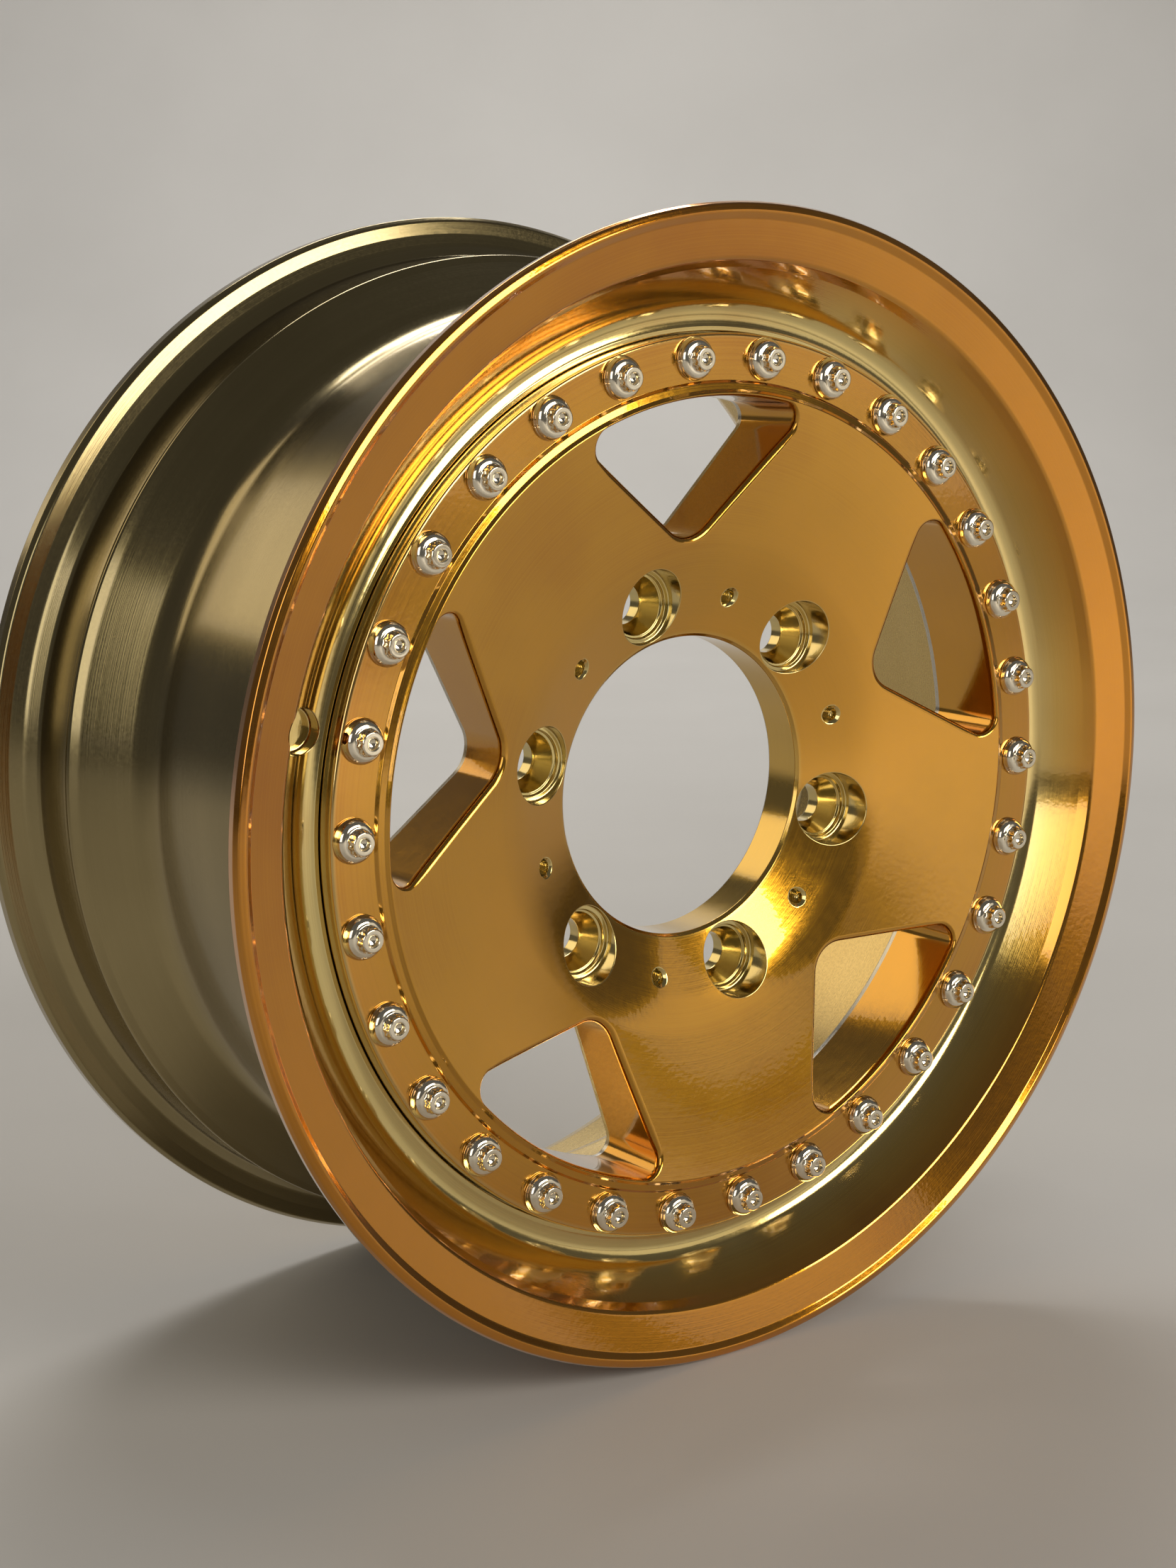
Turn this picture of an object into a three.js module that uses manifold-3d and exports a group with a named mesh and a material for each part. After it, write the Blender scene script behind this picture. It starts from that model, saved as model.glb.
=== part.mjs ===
// Three-piece forged wheel rim: a machined centre disc, an outer lip and an
// inner barrel, clamped together by a circle of thirty assembly bolts.
//
// Frame: millimetres, +Z up. The wheel turns about the Y axis. The front face
// looks toward -Y. The origin is on the axle line, half way between the outer
// face of the front flange and the outer face of the rear flange.
//
// Profiles are written as [radius, depth]. Depth is measured along the axle
// from the flat face of the bolted ring, positive toward the rear of the wheel.
// Clock angles are degrees clockwise from straight up, seen from the front.

import * as THREE from "three";
import { mergeVertices } from "three/addons/utils/BufferGeometryUtils.js";
import Module from "manifold-3d";

const wasm = await Module();
wasm.setup();

// ---------------------------------------------------------------- dimensions
const CLOCK = 282.9; // clock angle of the first window, lug hole and valve hole
const GAP = 0.3; // clearance where two pieces meet
const FACETS = 60; // facets round a turned part

const FRONT = -17.2; // depth of the front flange's outer face
const REAR = 166.0; // depth of the rear flange's outer face
const MID = (FRONT + REAR) / 2;

const BOLTS = 30;
const BOLT_CIRCLE_R = 153.6;
const SHANK_R = 3.95;
const BOLT_HOLE_R = 4.7;
const BOLT_FLANGE_R = 7.6;
const BOLT_HEAD_R = 4.35;
const BOLT_TOP = 7.3; // height of the head above the ring
const BOLT_END = 27.4; // depth of the free end behind the barrel's flange

const BORE_R = 54.5;
const HUB_BACK = 35.0; // depth of the hub mounting face
const SPOKE_BACK = 30.5;
const RING_IN_R = 145.6;
const RING_OUT_R = 161.9;
const RING_BACK = 10.0;
const SPIGOT_R = 142.9; // the centre's rear boss, inside the two flanges

const LUGS = 6;
const LUG_CIRCLE_R = 69.85;
const LUG_POCKET_R = 13.65;
const LUG_STEP_R = 11.6;
const LUG_THROUGH_R = 7.25;

const CAP_HOLE_R = 2.6;
const CAP_HOLE_MOUTH_R = 3.45;
const CAP_HOLE_DEPTH = 12;

const WINDOWS = 5;
const WINDOW_APEX_R = 91.8;
const WINDOW_OUTER_R = 140.1;
const WINDOW_HALF_ANGLE = 50; // each straight side against the radius
const WINDOW_APEX_FILLET = 12;
const WINDOW_CORNER_FILLET = 6;

const FLANGE_IN_R = 143.5; // both rim halves' mounting flanges
const LIP_FLANGE_FRONT = RING_BACK + GAP;
const LIP_BACK = 15.3;
const BARREL_FRONT = LIP_BACK + GAP;

const VALVE_R = 179.8; // valve hole, at the outer end of its milled slot
const VALVE_SLOT_IN_R = 173.0; // centre of the slot's inner end
const VALVE_SLOT_HALF = 7.6; // half the slot's width
const VALVE_SLOT_FLOOR = 12.6;
const VALVE_HOLE_R = 4.15;

// ------------------------------------------------------------------- helpers
const rad = (d) => (d * Math.PI) / 180;
const up = (z) => z - MID; // depth to the model's Y

function solidOf(geometry) {
  const g = geometry.clone();
  g.deleteAttribute("normal");
  g.deleteAttribute("uv");
  const m = mergeVertices(g, 1e-4);
  const vertProperties = new Float32Array(m.attributes.position.array);
  const triVerts = new Uint32Array(m.index.array);
  let s = new wasm.Manifold(
    new wasm.Mesh({ numProp: 3, vertProperties, triVerts }),
  );
  if (s.volume() < 0) {
    for (let i = 0; i < triVerts.length; i += 3) {
      const t = triVerts[i];
      triVerts[i] = triVerts[i + 1];
      triVerts[i + 1] = t;
    }
    s = new wasm.Manifold(
      new wasm.Mesh({ numProp: 3, vertProperties, triVerts }),
    );
  }
  return s;
}

function geometryOf(solid) {
  const mesh = solid.getMesh();
  const g = new THREE.BufferGeometry();
  const n = mesh.numProp;
  const count = mesh.vertProperties.length / n;
  const p = new Float32Array(count * 3);
  for (let i = 0; i < count; i++)
    for (let k = 0; k < 3; k++) p[3 * i + k] = mesh.vertProperties[n * i + k];
  g.setAttribute("position", new THREE.BufferAttribute(p, 3));
  g.setIndex(new THREE.BufferAttribute(new Uint32Array(mesh.triVerts), 1));
  g.computeVertexNormals();
  return g;
}

// A ring turned about the axle from a closed profile of [radius, depth].
function turned(profile, facets = FACETS, start = 0) {
  const pts = profile.map(([r, z]) => new THREE.Vector2(r, up(z)));
  pts.push(pts[0].clone());
  return solidOf(
    new THREE.LatheGeometry(pts, facets, rad(start), 2 * Math.PI),
  );
}

// A turned pin or cutter whose own axis is parallel to the axle, standing at a
// radius and a clock angle. Its profile of [radius, depth] starts and ends on
// its own axis.
function pinGeometry(profile, radius, clock, facets) {
  const pts = profile.map(([r, z]) => new THREE.Vector2(r, up(z)));
  const g = new THREE.LatheGeometry(
    pts,
    facets,
    rad(clock) + Math.PI / facets,
    2 * Math.PI,
  );
  g.translate(radius * Math.sin(rad(clock)), 0, radius * Math.cos(rad(clock)));
  return g;
}
const pin = (profile, radius, clock, facets) =>
  solidOf(pinGeometry(profile, radius, clock, facets));

// The outline of one window, pointing straight up, apex toward the hub.
function windowShape() {
  const a = rad(WINDOW_HALF_ANGLE);
  const f = WINDOW_APEX_FILLET;
  const c = WINDOW_CORNER_FILLET;
  const virtual = WINDOW_APEX_R - f * (1 / Math.sin(a) - 1);
  const pts = [];
  const cy = virtual + f / Math.sin(a);
  const half = Math.PI / 2 - a;
  for (let i = 0; i <= 6; i++) {
    const t = -half + (2 * half * i) / 6;
    pts.push([f * Math.sin(t), cy - f * Math.cos(t)]);
  }
  const dx = Math.sin(a),
    dy = Math.cos(a);
  const bx = -dy * c,
    by = virtual + dx * c;
  const B = bx * dx + by * dy;
  const C = bx * bx + by * by - (WINDOW_OUTER_R - c) ** 2;
  const s = -B + Math.sqrt(B * B - C);
  const px = bx + s * dx,
    py = by + s * dy;
  const a0 = Math.atan2(-dx, dy),
    a1 = Math.atan2(py, px);
  for (let i = 0; i <= 4; i++) {
    const t = a0 + ((a1 - a0) * i) / 4;
    pts.push([px + c * Math.cos(t), py + c * Math.sin(t)]);
  }
  const w = Math.atan2(px, py);
  for (let i = 1; i < 6; i++) {
    const t = w - (2 * w * i) / 6;
    pts.push([WINDOW_OUTER_R * Math.sin(t), WINDOW_OUTER_R * Math.cos(t)]);
  }
  for (let i = 4; i >= 0; i--) {
    const t = a0 + ((a1 - a0) * i) / 4;
    pts.push([-(px + c * Math.cos(t)), py + c * Math.sin(t)]);
  }
  return new THREE.Shape(pts.map(([x, y]) => new THREE.Vector2(x, y)));
}

function windowCutter(clock) {
  const g = new THREE.ExtrudeGeometry(windowShape(), {
    depth: 60,
    bevelEnabled: false,
    steps: 1,
  });
  g.rotateX(Math.PI / 2); // outline upright, length running toward -Y
  g.translate(0, up(45), 0);
  g.rotateY(rad(clock));
  return solidOf(g);
}

// The milled slot round the valve hole, long way along the radius.
function valveSlot(clock) {
  const pts = [];
  const n = 8;
  for (let i = 0; i <= n; i++) {
    const t = (Math.PI * i) / n;
    pts.push([VALVE_SLOT_HALF * Math.cos(t), VALVE_R + VALVE_SLOT_HALF * Math.sin(t)]);
  }
  for (let i = 0; i <= n; i++) {
    const t = Math.PI + (Math.PI * i) / n;
    pts.push([VALVE_SLOT_HALF * Math.cos(t), VALVE_SLOT_IN_R + VALVE_SLOT_HALF * Math.sin(t)]);
  }
  const g = new THREE.ExtrudeGeometry(
    new THREE.Shape(pts.map(([x, y]) => new THREE.Vector2(x, y))),
    { depth: VALVE_SLOT_FLOOR + 30, bevelEnabled: false, steps: 1 },
  );
  g.rotateX(Math.PI / 2);
  g.translate(0, up(VALVE_SLOT_FLOOR), 0);
  g.rotateY(rad(clock));
  return solidOf(g);
}

const clocks = (n, first) =>
  Array.from({ length: n }, (_, i) => first + (360 * i) / n);

function cutAll(solid, cutters) {
  let s = solid;
  for (const c of cutters) s = s.subtract(c);
  return s;
}

const boltHoles = (z0, z1) =>
  clocks(BOLTS, CLOCK).map((c) =>
    pin(
      [
        [0, z0],
        [BOLT_HOLE_R, z0],
        [BOLT_HOLE_R, z1],
        [0, z1],
      ],
      BOLT_CIRCLE_R,
      c,
      8,
    ),
  );

// --------------------------------------------------------------- centre disc
let centre = turned([
  [BORE_R, HUB_BACK],
  [BORE_R, 19.9],
  [55.6, 18.8],
  [79.0, 10.4],
  [87.0, 8.2],
  [141.2, -2.5],
  [142.5, -1.5],
  [144.9, -1.0],
  [RING_IN_R, 0],
  [160.8, 0],
  [RING_OUT_R, 1.1],
  [RING_OUT_R, RING_BACK],
  [SPIGOT_R, RING_BACK],
  [SPIGOT_R, SPOKE_BACK],
  [90.5, SPOKE_BACK],
  [86.0, HUB_BACK],
]);
centre = cutAll(centre, [
  ...clocks(WINDOWS, CLOCK).map(windowCutter),
  // lug holes: wide pocket, step, conical seat, through hole
  ...clocks(LUGS, CLOCK).map((c) =>
    pin(
      [
        [0, 0],
        [LUG_POCKET_R, 0],
        [LUG_POCKET_R, 20.5],
        [LUG_STEP_R, 22.5],
        [LUG_THROUGH_R, 29.5],
        [LUG_THROUGH_R, 40],
        [0, 40],
      ],
      LUG_CIRCLE_R,
      c,
      16,
    ),
  ),
  // blind tapped holes for a centre cap
  ...clocks(LUGS, CLOCK + 30).map((c) =>
    pin(
      [
        [0, 8],
        [CAP_HOLE_MOUTH_R, 8],
        [CAP_HOLE_MOUTH_R, 13.7],
        [CAP_HOLE_R, 14.6],
        [CAP_HOLE_R, 13.5 + CAP_HOLE_DEPTH],
        [0, 13.5 + CAP_HOLE_DEPTH],
      ],
      LUG_CIRCLE_R,
      c,
      8,
    ),
  ),
  ...boltHoles(-5, 14),
]);

// ----------------------------------------------------------------- outer lip
let lip = turned([
  [FLANGE_IN_R, LIP_FLANGE_FRONT],
  [RING_OUT_R + GAP, LIP_FLANGE_FRONT],
  [RING_OUT_R + GAP, 6.6],
  [163.9, 6.6],
  [166.8, 7.5],
  [170.4, 6.9],
  [174.0, 3.7],
  [183.7, -7.6],
  [186.2, -11.2],
  [188.6, -12.3],
  [199.6, -15.4],
  [202.0, FRONT],
  [204.6, -16.4],
  [205.4, -14.4],
  [204.6, -9.9],
  [194.0, -9.2],
  [190.2, -5.2],
  [189.4, 8.0],
  [190.6, 11.4],
  [188.6, LIP_BACK],
  [FLANGE_IN_R, LIP_BACK],
]);
lip = cutAll(lip, [
  ...boltHoles(5, 20),
  valveSlot(CLOCK),
  pin(
    [
      [0, 5],
      [VALVE_HOLE_R, 5],
      [VALVE_HOLE_R, 25],
      [0, 25],
    ],
    VALVE_R,
    CLOCK,
    16,
  ),
]);

// -------------------------------------------------------------- inner barrel
let barrel = turned([
  [FLANGE_IN_R, BARREL_FRONT],
  [171.5, BARREL_FRONT],
  [171.5, 21.4],
  [170.0, 23.5],
  [170.0, 103.6],
  [172.0, 108.2],
  [187.6, 125.4],
  [190.8, 128.2],
  [189.2, 131.6],
  [190.1, 150.6],
  [194.4, 155.0],
  [199.0, 157.0],
  [204.0, 158.0],
  [205.4, 160.0],
  [205.2, 164.8],
  [203.6, REAR],
  [200.8, REAR],
  [187.6, 158.6],
  [184.8, 152.0],
  [183.6, 128.4],
  [167.2, 109.4],
  [165.0, 104.4],
  [165.0, 26.2],
  [160.4, 21.6],
  [FLANGE_IN_R, 21.6],
]);
barrel = cutAll(barrel, boltHoles(10, 26));

// ------------------------------------------------------------ joint sealant
const sealant = turned(
  [
    [171.9, BARREL_FRONT + 0.1],
    [173.7, BARREL_FRONT + 0.1],
    [173.1, 18.2],
    [171.9, 19.4],
  ],
  FACETS,
);

// ----------------------------------------------------------- assembly bolts
function bolt(clock) {
  const seat = -GAP;
  const shank = pin(
    [
      [0, seat - 0.5],
      [SHANK_R, seat - 0.5],
      [SHANK_R, BOLT_END],
      [0, BOLT_END],
    ],
    BOLT_CIRCLE_R,
    clock,
    8,
  );
  const head = pin(
    [
      [0, -BOLT_TOP + 1.9],
      [2.3, -BOLT_TOP + 1.9],
      [2.3, -BOLT_TOP],
      [BOLT_HEAD_R, -BOLT_TOP],
      [BOLT_HEAD_R, -3.9],
      [BOLT_FLANGE_R, -1.4],
      [BOLT_FLANGE_R, seat],
      [0, seat],
    ],
    BOLT_CIRCLE_R,
    clock,
    10,
  );
  return head.add(shank);
}

// ------------------------------------------------------------------ assembly
const wheel = new THREE.Group();
const finish = {
  candy: { color: 0xb5762a, roughness: 0.12, metalness: 1.0 },
  satin: { color: 0x8a7740, roughness: 0.42, metalness: 1.0 },
  chrome: { color: 0xcfcac0, roughness: 0.1, metalness: 1.0 },
  sealant: { color: 0xd8d6cf, roughness: 0.55, metalness: 0.0 },
};

function add(name, solid, look) {
  const mesh = new THREE.Mesh(
    geometryOf(solid),
    new THREE.MeshStandardMaterial(look),
  );
  mesh.name = name;
  wheel.add(mesh);
}

add("centre_disc", centre, finish.candy);
add("outer_lip", lip, finish.candy);
add("inner_barrel", barrel, finish.satin);
add("joint_sealant", sealant, finish.sealant);
clocks(BOLTS, CLOCK).forEach((c, i) =>
  add("assembly_bolt_" + String(i + 1).padStart(2, "0"), bolt(c), finish.chrome),
);

export default wheel;
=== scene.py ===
"""Three-piece forged wheel rim: machined centre disc, outer lip, inner barrel
and thirty twelve-point assembly bolts, standing on a pale studio floor.

Everything is written in millimetres as [radius, depth], depth measured along
the axle from the flat of the bolted ring toward the rear of the wheel, and is
turned into metres in the row frame when a mesh is made. Clock angles are
degrees clockwise from straight up, seen from the front (-Y).
"""

import math

import bpy
import numpy as np
from mathutils import Matrix, Vector


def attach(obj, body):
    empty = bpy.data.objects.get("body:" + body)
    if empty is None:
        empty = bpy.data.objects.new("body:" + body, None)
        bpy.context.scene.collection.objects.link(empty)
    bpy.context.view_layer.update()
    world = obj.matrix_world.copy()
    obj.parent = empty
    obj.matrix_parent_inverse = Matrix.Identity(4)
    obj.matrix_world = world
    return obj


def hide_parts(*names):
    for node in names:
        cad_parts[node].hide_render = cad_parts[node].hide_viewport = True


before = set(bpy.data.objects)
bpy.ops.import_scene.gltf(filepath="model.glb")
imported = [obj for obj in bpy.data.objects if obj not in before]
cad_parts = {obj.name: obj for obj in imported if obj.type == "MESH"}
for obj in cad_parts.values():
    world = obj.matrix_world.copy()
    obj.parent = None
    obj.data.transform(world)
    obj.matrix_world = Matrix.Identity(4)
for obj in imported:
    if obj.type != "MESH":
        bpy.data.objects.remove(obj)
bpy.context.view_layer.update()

# ------------------------------------------------------------- dimensions, mm
CLOCK = 282.9
FRONT, REAR = -17.2, 166.0
MID = (FRONT + REAR) / 2
SEG = 360

BOLTS, BOLT_CIRCLE = 30, 153.6
LUGS, LUG_CIRCLE = 6, 69.85
LUG_POCKET = 13.65
WINDOWS = 5
WINDOW_APEX, WINDOW_OUTER = 91.8, 140.1
WINDOW_HALF_ANGLE, WINDOW_APEX_FILLET, WINDOW_CORNER_FILLET = 50.0, 12.0, 6.0
BARE_AND_REFLECTION_FROM = 28.4  # depth from which the windows' walls are bare metal; this thin silver band is also a painted reflection of white light on the walls
VALVE_R, VALVE_SLOT_IN, VALVE_SLOT_HALF, VALVE_FLOOR = 179.8, 173.0, 7.6, 12.6


def clocks(n, first):
    return [first + 360.0 * i / n for i in range(n)]


# --------------------------------------------------------- profiles and solids
def rounded(corners, step=11.0):
    """A closed profile of (radius, depth, fillet) as points and their outward normals."""
    c = np.array([p[:2] for p in corners], float)
    fillet = [p[2] for p in corners]
    nxt = np.roll(c, -1, 0)
    edge = nxt - c
    length = np.linalg.norm(edge, axis=1)
    d = edge / length[:, None]
    area = 0.5 * np.sum(c[:, 0] * nxt[:, 1] - nxt[:, 0] * c[:, 1])
    sign = 1.0 if area > 0 else -1.0
    n = sign * np.stack([d[:, 1], -d[:, 0]], 1)
    turns = []
    for i in range(len(c)):
        j = i - 1
        turns.append(
            math.atan2(n[j][0] * n[i][1] - n[j][1] * n[i][0], float(np.dot(n[j], n[i])))
        )
    reach = np.array([f * math.tan(abs(t) / 2) for f, t in zip(fillet, turns)])
    for _ in range(4):  # share an edge between the fillets at its two ends
        for i in range(len(c)):
            k = (i + 1) % len(c)
            both = reach[i] + reach[k]
            if both > 0.98 * length[i]:
                reach[i] *= 0.98 * length[i] / both
                reach[k] *= 0.98 * length[i] / both
    pts, nrm = [], []
    for i in range(len(c)):
        j, turn, t = i - 1, turns[i], reach[i]
        a0 = math.atan2(n[j][1], n[j][0])
        if abs(turn) < 1e-3:
            pts.append(c[i])
            nrm.append(n[i])
            continue
        radius = t / math.tan(abs(turn) / 2)
        side = 1.0 if turn * sign > 0 else -1.0  # convex or concave corner
        start = c[i] - d[j] * t
        centre = start - side * radius * n[j]
        k = max(2, math.ceil(math.degrees(abs(turn)) / step))
        for s in range(k + 1):
            a = a0 + turn * s / k
            u = np.array([math.cos(a), math.sin(a)])
            pts.append(centre + side * radius * u)
            nrm.append(u)
    return np.array(pts), np.array(nrm)


def new_mesh(name, verts_mm, faces, index=None):
    """A mesh from millimetre points (x, depth, z up)."""
    v = np.array(verts_mm, float)
    v[:, 1] -= MID
    me = bpy.data.meshes.new(name)
    me.from_pydata((v * 0.001).tolist(), [], faces)
    if index is not None:
        me.polygons.foreach_set("material_index", index)
    me.update()
    return me


def volume(v, quads, caps=()):
    """Six times the signed volume inside quads and flat end caps."""
    total = 0.0
    for a, b, c in ((0, 1, 2), (0, 2, 3)):
        total += float(np.einsum("ij,ij->", v[quads[:, a]], np.cross(v[quads[:, b]], v[quads[:, c]])))
    for cap in caps:
        w = v[list(cap)]
        total += float(np.einsum("j,ij->", w[0], np.cross(w[1:-1], w[2:])))
    return total


def strip(first, second):
    """Quads between two equal rings of point numbers."""
    return np.stack([first, np.roll(first, -1), np.roll(second, -1), second], 1)


def turned(points, seg=SEG, start=0.0):
    """Points and faces of a ring turned about the axle."""
    n = len(points)
    a = np.radians(start) + 2 * np.pi * np.arange(seg) / seg
    v = np.empty((seg, n, 3))
    v[:, :, 0] = np.sin(a)[:, None] * points[None, :, 0]
    v[:, :, 1] = points[None, :, 1]
    v[:, :, 2] = np.cos(a)[:, None] * points[None, :, 0]
    v = v.reshape(-1, 3)
    number = np.arange(seg * n).reshape(seg, n)
    quads = np.concatenate([strip(number[j], number[(j + 1) % seg]) for j in range(seg)])
    if volume(v, quads) < 0:
        quads = quads[:, ::-1]
    return v, quads.tolist()


def lofted(rings, mats=None):
    """A closed solid through rings of equal length, ends capped flat. mats gives a material index for each band."""
    m, count = len(rings[0]), len(rings)
    v = np.concatenate(rings)
    number = np.arange(count * m).reshape(count, m)
    quads = np.concatenate([strip(number[k], number[k + 1]) for k in range(count - 1)])
    caps = [number[0][::-1].tolist(), number[-1].tolist()]
    index = np.repeat(mats if mats else [0] * (count - 1), m).tolist()
    index += [mats[0], mats[-1]] if mats else [0, 0]
    if volume(v, quads, caps) < 0:
        quads, caps = quads[:, ::-1], [c[::-1] for c in caps]
    return v, quads.tolist() + caps, index


class Cutter:
    """A cutter standing along the axle on an outline, whose mouth follows the turned face that it enters."""

    def __init__(self, outline, normal, face):
        self.outline, self.normal, self.face = outline, normal, face
        self.rings, self.mats, self.mat = [], [], 0

    def at(self, offset, depth, follow=False):
        p = self.outline + self.normal * offset
        z = np.full(len(p), float(depth))
        if follow:
            z = self.face(np.hypot(p[:, 0], p[:, 1])) + depth
        if self.rings:
            self.mats.append(self.mat)
        self.rings.append(np.stack([p[:, 0], z, p[:, 1]], 1))
        return self

    def ring(self, points, depth):
        self.mats.append(self.mat)
        self.rings.append(np.stack([points[:, 0], np.full(len(points), float(depth)), points[:, 1]], 1))
        return self

    def mouth(self, radius, ahead, ramp=0.35, steps=7):
        """Enters the face from ahead of it with a rounded edge of this radius."""
        first = 0.8955 * radius
        self.at(first + ramp, ahead)
        self.at(first + ramp, -0.09 * ramp, True)
        self.at(first, 0.0055 * radius, True)
        for i in range(1, steps + 1):
            t = math.radians(6 + 84 * i / steps)
            self.at(radius * (1 - math.sin(t)), radius * (1 - math.cos(t)), True)
        return self

    def arc(self, o0, z0, o1, z1, bulge, steps=5):
        """A quarter round from one level to the next; bulge 1 leaves along the axle, -1 across it."""
        for i in range(1, steps + 1):
            t = math.pi / 2 * i / steps
            if bulge > 0:
                a, b = 1 - math.cos(t), math.sin(t)
            else:
                a, b = math.sin(t), 1 - math.cos(t)
            self.at(o0 + (o1 - o0) * a, z0 + (z1 - z0) * b)
        return self

    def exit(self, offset, back, radius, beyond, steps=5, ramp=0.3):
        """Leaves through a flat rear face with a rounded edge."""
        for i in range(steps + 1):
            t = math.radians(84 * i / steps)
            self.at(
                offset + radius * (1 - math.cos(t)),
                back - radius * (1 - math.sin(t)),
            )
        self.at(offset + radius * (1 - math.cos(math.radians(84))) + ramp, back + 0.09 * ramp)
        self.at(offset + radius + ramp, beyond)
        return self

    def made(self):
        return lofted(self.rings, self.mats)


def circle(radius, clock, r, n=64):
    a = math.radians(clock)
    centre = np.array([radius * math.sin(a), radius * math.cos(a)])
    t = 2 * np.pi * np.arange(n) / n
    u = np.stack([np.sin(t), np.cos(t)], 1)
    return centre + r * u, u


def slot(inner, outer, clock, half, steps=24, along=14):
    """A round-ended slot lying along a radius: points and outward normals."""
    a = math.radians(clock)
    out, side = np.array([math.sin(a), math.cos(a)]), np.array([math.cos(a), -math.sin(a)])
    points, normals = [], []
    for centre, first in ((outer, -90.0), (inner, 90.0)):
        for i in range(steps + 1):
            t = math.radians(first + 180.0 * i / steps)
            u = out * math.cos(t) + side * math.sin(t)
            points.append(out * centre + half * u)
            normals.append(u)
        other = inner if centre == outer else outer
        for i in range(1, along):
            points.append(out * (centre + (other - centre) * i / along) + half * u)
            normals.append(u)
    return np.array(points), np.array(normals)


def spin(points, clock):
    a = math.radians(clock)
    x, y = points[:, 0], points[:, 1]
    return np.stack(
        [x * math.cos(a) + y * math.sin(a), -x * math.sin(a) + y * math.cos(a)], 1
    )


def window_outline():
    """One window, apex toward the hub, pointing straight up: points and outward normals."""
    a = math.radians(WINDOW_HALF_ANGLE)
    f, c = WINDOW_APEX_FILLET, WINDOW_CORNER_FILLET
    virtual = WINDOW_APEX - f * (1 / math.sin(a) - 1)
    cy = virtual + f / math.sin(a)
    half = math.pi / 2 - a
    dx, dy = math.sin(a), math.cos(a)
    bx, by = -dy * c, virtual + dx * c
    b = bx * dx + by * dy
    q = bx * bx + by * by - (WINDOW_OUTER - c) ** 2
    s = -b + math.sqrt(b * b - q)
    px, py = bx + s * dx, by + s * dy
    a0, a1 = math.atan2(-dx, dy), math.atan2(py, px)
    right_p, right_n = [], []
    for i in range(0, 13):  # apex round, from the middle to the right
        t = half * i / 12
        right_p.append([f * math.sin(t), cy - f * math.cos(t)])
        right_n.append([math.sin(t), -math.cos(t)])
    start = np.array(right_p[-1])
    end = np.array([px + c * math.cos(a0), py + c * math.sin(a0)])
    run = int(np.linalg.norm(end - start) / 2.0)
    for i in range(1, run):
        right_p.append(list(start + (end - start) * i / run))
        right_n.append([math.cos(a0), math.sin(a0)])
    for i in range(0, 15):  # outer corner
        t = a0 + (a1 - a0) * i / 14
        right_p.append([px + c * math.cos(t), py + c * math.sin(t)])
        right_n.append([math.cos(t), math.sin(t)])
    w = math.atan2(px, py)
    run = 20
    for i in range(1, run + 1):  # outer arc to the middle
        t = w - w * i / run
        right_p.append([WINDOW_OUTER * math.sin(t), WINDOW_OUTER * math.cos(t)])
        right_n.append([math.sin(t), math.cos(t)])
    p, n = np.array(right_p), np.array(right_n)
    mirror_p, mirror_n = p[-2:0:-1] * [-1, 1], n[-2:0:-1] * [-1, 1]
    return np.concatenate([p, mirror_p]), np.concatenate([n, mirror_n])


def face_depth(points, normals, front=True):
    """The depth of a profile's front or rear facing skin as a function of radius."""
    keep = normals[:, 1] < -0.12 if front else normals[:, 1] > 0.12
    r, z = points[keep, 0], points[keep, 1]
    order = np.argsort(r)
    r, z = r[order], z[order]
    return lambda x: np.interp(x, r, z)


def joined(parts):
    """Several lofted solids as one."""
    v, faces, index, base = [], [], [], 0
    for pv, pf, pi in parts:
        v.append(pv)
        faces += [tuple(base + i for i in f) for f in pf]
        index += pi
        base += len(pv)
    return np.concatenate(v), faces, index


def cut(name, solid, cutters, materials):
    """solid minus the cutters, as a new object with both sides' material numbers."""
    body = bpy.data.objects.new(name, new_mesh(name, *solid))
    tool = bpy.data.objects.new(name + "_tool", new_mesh(name + "_tool", *joined(cutters)))
    for o in (body, tool):
        for m in materials:
            o.data.materials.append(m)
        bpy.context.scene.collection.objects.link(o)
    mod = body.modifiers.new("cut", "BOOLEAN")
    mod.operation, mod.solver, mod.object = "DIFFERENCE", "MANIFOLD", tool
    mod.material_mode = "INDEX"
    bpy.context.view_layer.update()
    done = bpy.data.meshes.new_from_object(
        body.evaluated_get(bpy.context.evaluated_depsgraph_get())
    )
    body.modifiers.clear()
    old, body.data = body.data, done
    done.name = name
    bpy.data.meshes.remove(old)
    tool_mesh = tool.data
    bpy.data.objects.remove(tool)
    bpy.data.meshes.remove(tool_mesh)
    return body


def read(me):
    nv, nf, nl = len(me.vertices), len(me.polygons), len(me.loops)
    co, no, ce = np.empty(nv * 3), np.empty(nf * 3), np.empty(nf * 3)
    ar, lv = np.empty(nf), np.empty(nl, np.int32)
    ls, lt = np.empty(nf, np.int32), np.empty(nf, np.int32)
    me.vertices.foreach_get("co", co)
    me.polygons.foreach_get("normal", no)
    me.polygons.foreach_get("center", ce)
    me.polygons.foreach_get("area", ar)
    me.loops.foreach_get("vertex_index", lv)
    me.polygons.foreach_get("loop_start", ls)
    me.polygons.foreach_get("loop_total", lt)
    return (
        co.reshape(-1, 3) * 1000,
        no.reshape(-1, 3),
        ce.reshape(-1, 3) * 1000,
        ar,
        lv,
        ls,
        lt,
    )


def inward(obj):
    """Which faces look toward the axle or out of the back."""
    no, ce = read(obj.data)[1:3]
    radius = np.hypot(ce[:, 0], ce[:, 2])
    toward = -(no[:, 0] * ce[:, 0] + no[:, 2] * ce[:, 2]) / radius
    return (toward > 0.02) | (no[:, 1] > 0.6)


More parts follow.
